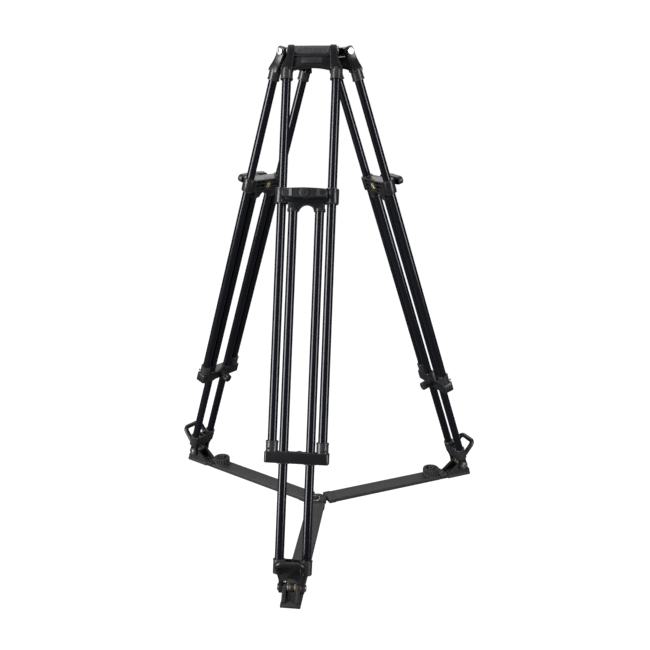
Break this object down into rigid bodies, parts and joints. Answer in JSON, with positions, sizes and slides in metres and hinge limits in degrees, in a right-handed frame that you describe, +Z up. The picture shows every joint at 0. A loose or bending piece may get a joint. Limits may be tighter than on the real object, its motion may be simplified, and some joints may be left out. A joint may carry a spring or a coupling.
{
  "type": "camera tripod",
  "caption": "Camera tripod with a levelling-bowl crown, twin-tube telescopic legs, clamp knobs and a telescopic floor spreader.",
  "frame": {"origin": "centre of the hub's lower face, on the floor below the bowl", "axes": "+Z up through the bowl; -Y towards leg 1; +X to the right seen from leg 1"},
  "size_m": [0.9118, 0.7947, 1.2525],
  "materials": {
    "casting": "satin black",
    "tube": "glossy black anodised",
    "spreader": "dark grey satin",
    "moulding": "moulded black",
    "brass": "bright brass",
    "steel": "bright steel"
  },
  "bodies": {
    "crown": {"crown": "casting"},
    "hub": {"hub": "spreader", "leg_1_arm_channel": "spreader"},
    "ring": {"hub_ring": "steel"},
    "foot_1": {"leg_1_arm_foot": "spreader"},
    "leg_1_lower": {"leg_1_carriage": "casting", "leg_1_star_nut": "brass", "leg_1_inner_bracket": "casting", "leg_1_inner_tubes": "tube", "leg_1_foot_casting": "casting", "leg_1_foot_pin": "steel", "leg_1_foot_wheel": "moulding", "leg_1_guard_loop": "moulding"},
    "leg_1_upper": {"leg_1_yoke": "casting", "leg_1_pivot_pin": "steel", "leg_1_outer_tubes": "tube", "leg_1_lower_casting": "casting"},
    "arm_1_mid": {"leg_1_arm_mid": "spreader"},
    "lever_1": {"leg_1_clamp_lever": "moulding"},
    "lower_knob_1": {"leg_1_lower_knob": "moulding"},
    "arm_knob_1": {"leg_1_arm_knob": "moulding"},
    "foot_2": {"leg_2_arm_foot": "spreader"},
    "leg_2_lower": {"leg_2_carriage": "casting", "leg_2_star_nut": "brass", "leg_2_inner_bracket": "casting", "leg_2_inner_tubes": "tube", "leg_2_foot_casting": "casting", "leg_2_foot_pin": "steel", "leg_2_foot_wheel": "moulding", "leg_2_guard_loop": "moulding"},
    "leg_2_upper": {"leg_2_yoke": "casting", "leg_2_pivot_pin": "steel", "leg_2_outer_tubes": "tube", "leg_2_lower_casting": "casting"},
    "arm_2_mid": {"leg_2_arm_mid": "spreader"},
    "arm_2_channel": {"leg_2_arm_channel": "spreader"},
    "lever_2": {"leg_2_clamp_lever": "moulding"},
    "lower_knob_2": {"leg_2_lower_knob": "moulding"},
    "arm_knob_2": {"leg_2_arm_knob": "moulding"},
    "foot_3": {"leg_3_arm_foot": "spreader"},
    "leg_3_lower": {"leg_3_carriage": "casting", "leg_3_star_nut": "brass", "leg_3_inner_bracket": "casting", "leg_3_inner_tubes": "tube", "leg_3_foot_casting": "casting", "leg_3_foot_pin": "steel", "leg_3_foot_wheel": "moulding", "leg_3_guard_loop": "moulding"},
    "leg_3_upper": {"leg_3_yoke": "casting", "leg_3_pivot_pin": "steel", "leg_3_outer_tubes": "tube", "leg_3_lower_casting": "casting"},
    "arm_3_mid": {"leg_3_arm_mid": "spreader"},
    "arm_3_channel": {"leg_3_arm_channel": "spreader"},
    "lever_3": {"leg_3_clamp_lever": "moulding"},
    "lower_knob_3": {"leg_3_lower_knob": "moulding"},
    "arm_knob_3": {"leg_3_arm_knob": "moulding"}
  },
  "joints": [
    {"name": "leg_1_spread", "type": "hinge", "parent": "foot_1", "child": "leg_1_lower", "pos_m": [0, -0.47726, 0.03744], "axis": [-1, 0, 0], "range_deg": [0, 5]},
    {"name": "leg_1_extend", "type": "slide", "parent": "leg_1_lower", "child": "leg_1_upper", "axis": [0, 0.3234, 0.9463], "range_m": [0, 0.3]},
    {"name": "crown_level", "type": "hinge", "parent": "leg_1_upper", "child": "crown", "pos_m": [0, -0.066, 1.2407], "axis": [-1, 0, 0], "range_deg": [-5, 0]},
    {"name": "leg_2_spread", "type": "hinge", "parent": "crown", "child": "leg_2_upper", "pos_m": [-0.05716, 0.033, 1.2407], "axis": [0.5, 0.866, 0], "range_deg": [0, 5]},
    {"name": "leg_2_extend", "type": "slide", "parent": "leg_2_upper", "child": "leg_2_lower", "axis": [-0.2801, 0.1617, -0.9463], "range_m": [0, 0.3]},
    {"name": "foot_2_level", "type": "hinge", "parent": "leg_2_lower", "child": "foot_2", "pos_m": [-0.41332, 0.23863, 0.03744], "axis": [0.5, 0.866, 0], "range_deg": [-5, 0]},
    {"name": "leg_3_spread", "type": "hinge", "parent": "crown", "child": "leg_3_upper", "pos_m": [0.05716, 0.033, 1.2407], "axis": [0.5, -0.866, 0], "range_deg": [0, 5]},
    {"name": "leg_3_extend", "type": "slide", "parent": "leg_3_upper", "child": "leg_3_lower", "axis": [0.2801, 0.1617, -0.9463], "range_m": [0, 0.3]},
    {"name": "foot_3_level", "type": "hinge", "parent": "leg_3_lower", "child": "foot_3", "pos_m": [0.41332, 0.23863, 0.03744], "axis": [0.5, -0.866, 0], "range_deg": [-5, 0]},
    {"name": "arm_1_spread", "type": "slide", "parent": "foot_1", "child": "arm_1_mid", "axis": [0, 1, 0], "range_m": [0, 0.1038]},
    {"name": "arm_1_extend", "type": "slide", "parent": "arm_1_mid", "child": "hub", "axis": [0, 1, 0], "range_m": [0, 0.0975]},
    {"name": "lever_1_turn", "type": "hinge", "parent": "leg_1_lower", "child": "lever_1", "pos_m": [0, -0.19609, 0.91264], "axis": [0, -0.9463, 0.3234], "range_deg": [0, 180]},
    {"name": "lower_knob_1_turn", "type": "hinge", "parent": "leg_1_upper", "child": "lower_knob_1", "pos_m": [0, -0.36574, 0.31737], "axis": [0, 0.9463, -0.3234], "range_deg": [0, 180]},
    {"name": "arm_knob_1_turn", "type": "hinge", "parent": "hub", "child": "arm_knob_1", "pos_m": [0, -0.378, 0.014], "axis": [0, 0, 1], "range_deg": [0, 180]},
    {"name": "arm_2_spread", "type": "slide", "parent": "foot_2", "child": "arm_2_mid", "axis": [0.866, -0.5, 0], "range_m": [0, 0.1038]},
    {"name": "arm_2_extend", "type": "slide", "parent": "arm_2_mid", "child": "arm_2_channel", "axis": [0.866, -0.5, 0], "range_m": [0, 0.0975]},
    {"name": "lever_2_turn", "type": "hinge", "parent": "leg_2_lower", "child": "lever_2", "pos_m": [-0.16982, 0.09805, 0.91264], "axis": [-0.8195, 0.4731, 0.3234], "range_deg": [0, 180]},
    {"name": "lower_knob_2_turn", "type": "hinge", "parent": "leg_2_upper", "child": "lower_knob_2", "pos_m": [-0.31674, 0.18287, 0.31737], "axis": [0.8195, -0.4731, -0.3234], "range_deg": [0, 180]},
    {"name": "arm_knob_2_turn", "type": "hinge", "parent": "arm_2_channel", "child": "arm_knob_2", "pos_m": [-0.32736, 0.189, 0.014], "axis": [0, 0, 1], "range_deg": [0, 180]},
    {"name": "arm_3_spread", "type": "slide", "parent": "foot_3", "child": "arm_3_mid", "axis": [-0.866, -0.5, 0], "range_m": [0, 0.1038]},
    {"name": "arm_3_extend", "type": "slide", "parent": "arm_3_mid", "child": "arm_3_channel", "axis": [-0.866, -0.5, 0], "range_m": [0, 0.0975]},
    {"name": "lever_3_turn", "type": "hinge", "parent": "leg_3_lower", "child": "lever_3", "pos_m": [0.16982, 0.09805, 0.91264], "axis": [0.8195, 0.4731, 0.3234], "range_deg": [0, 180]},
    {"name": "lower_knob_3_turn", "type": "hinge", "parent": "leg_3_upper", "child": "lower_knob_3", "pos_m": [0.31674, 0.18287, 0.31737], "axis": [-0.8195, -0.4731, -0.3234], "range_deg": [0, 180]},
    {"name": "arm_knob_3_turn", "type": "hinge", "parent": "arm_3_channel", "child": "arm_knob_3", "pos_m": [0.32736, 0.189, 0.014], "axis": [0, 0, 1], "range_deg": [0, 180]},
    {"name": "ring_lift", "type": "hinge", "parent": "hub", "child": "ring", "pos_m": [0, 0, 0.02], "axis": [-0.9063, 0.4226, 0], "range_deg": [0, 90]}
  ],
  "couplings": [
    {"joint": "crown_level", "follows": "leg_1_spread", "ratio": -1},
    {"joint": "leg_2_spread", "follows": "leg_1_spread", "ratio": 1},
    {"joint": "leg_2_extend", "follows": "leg_1_extend", "ratio": 1},
    {"joint": "foot_2_level", "follows": "leg_1_spread", "ratio": -1},
    {"joint": "leg_3_spread", "follows": "leg_1_spread", "ratio": 1},
    {"joint": "leg_3_extend", "follows": "leg_1_extend", "ratio": 1},
    {"joint": "foot_3_level", "follows": "leg_1_spread", "ratio": -1},
    {"joint": "arm_1_spread", "follows": "leg_1_spread", "m_per_rad": 1.1838},
    {"joint": "arm_1_extend", "follows": "leg_1_extend", "ratio": 0.32342},
    {"joint": "arm_2_spread", "follows": "leg_1_spread", "m_per_rad": 1.1838},
    {"joint": "arm_2_extend", "follows": "leg_1_extend", "ratio": 0.32342},
    {"joint": "arm_3_spread", "follows": "leg_1_spread", "m_per_rad": 1.1838},
    {"joint": "arm_3_extend", "follows": "leg_1_extend", "ratio": 0.32342}
  ]
}
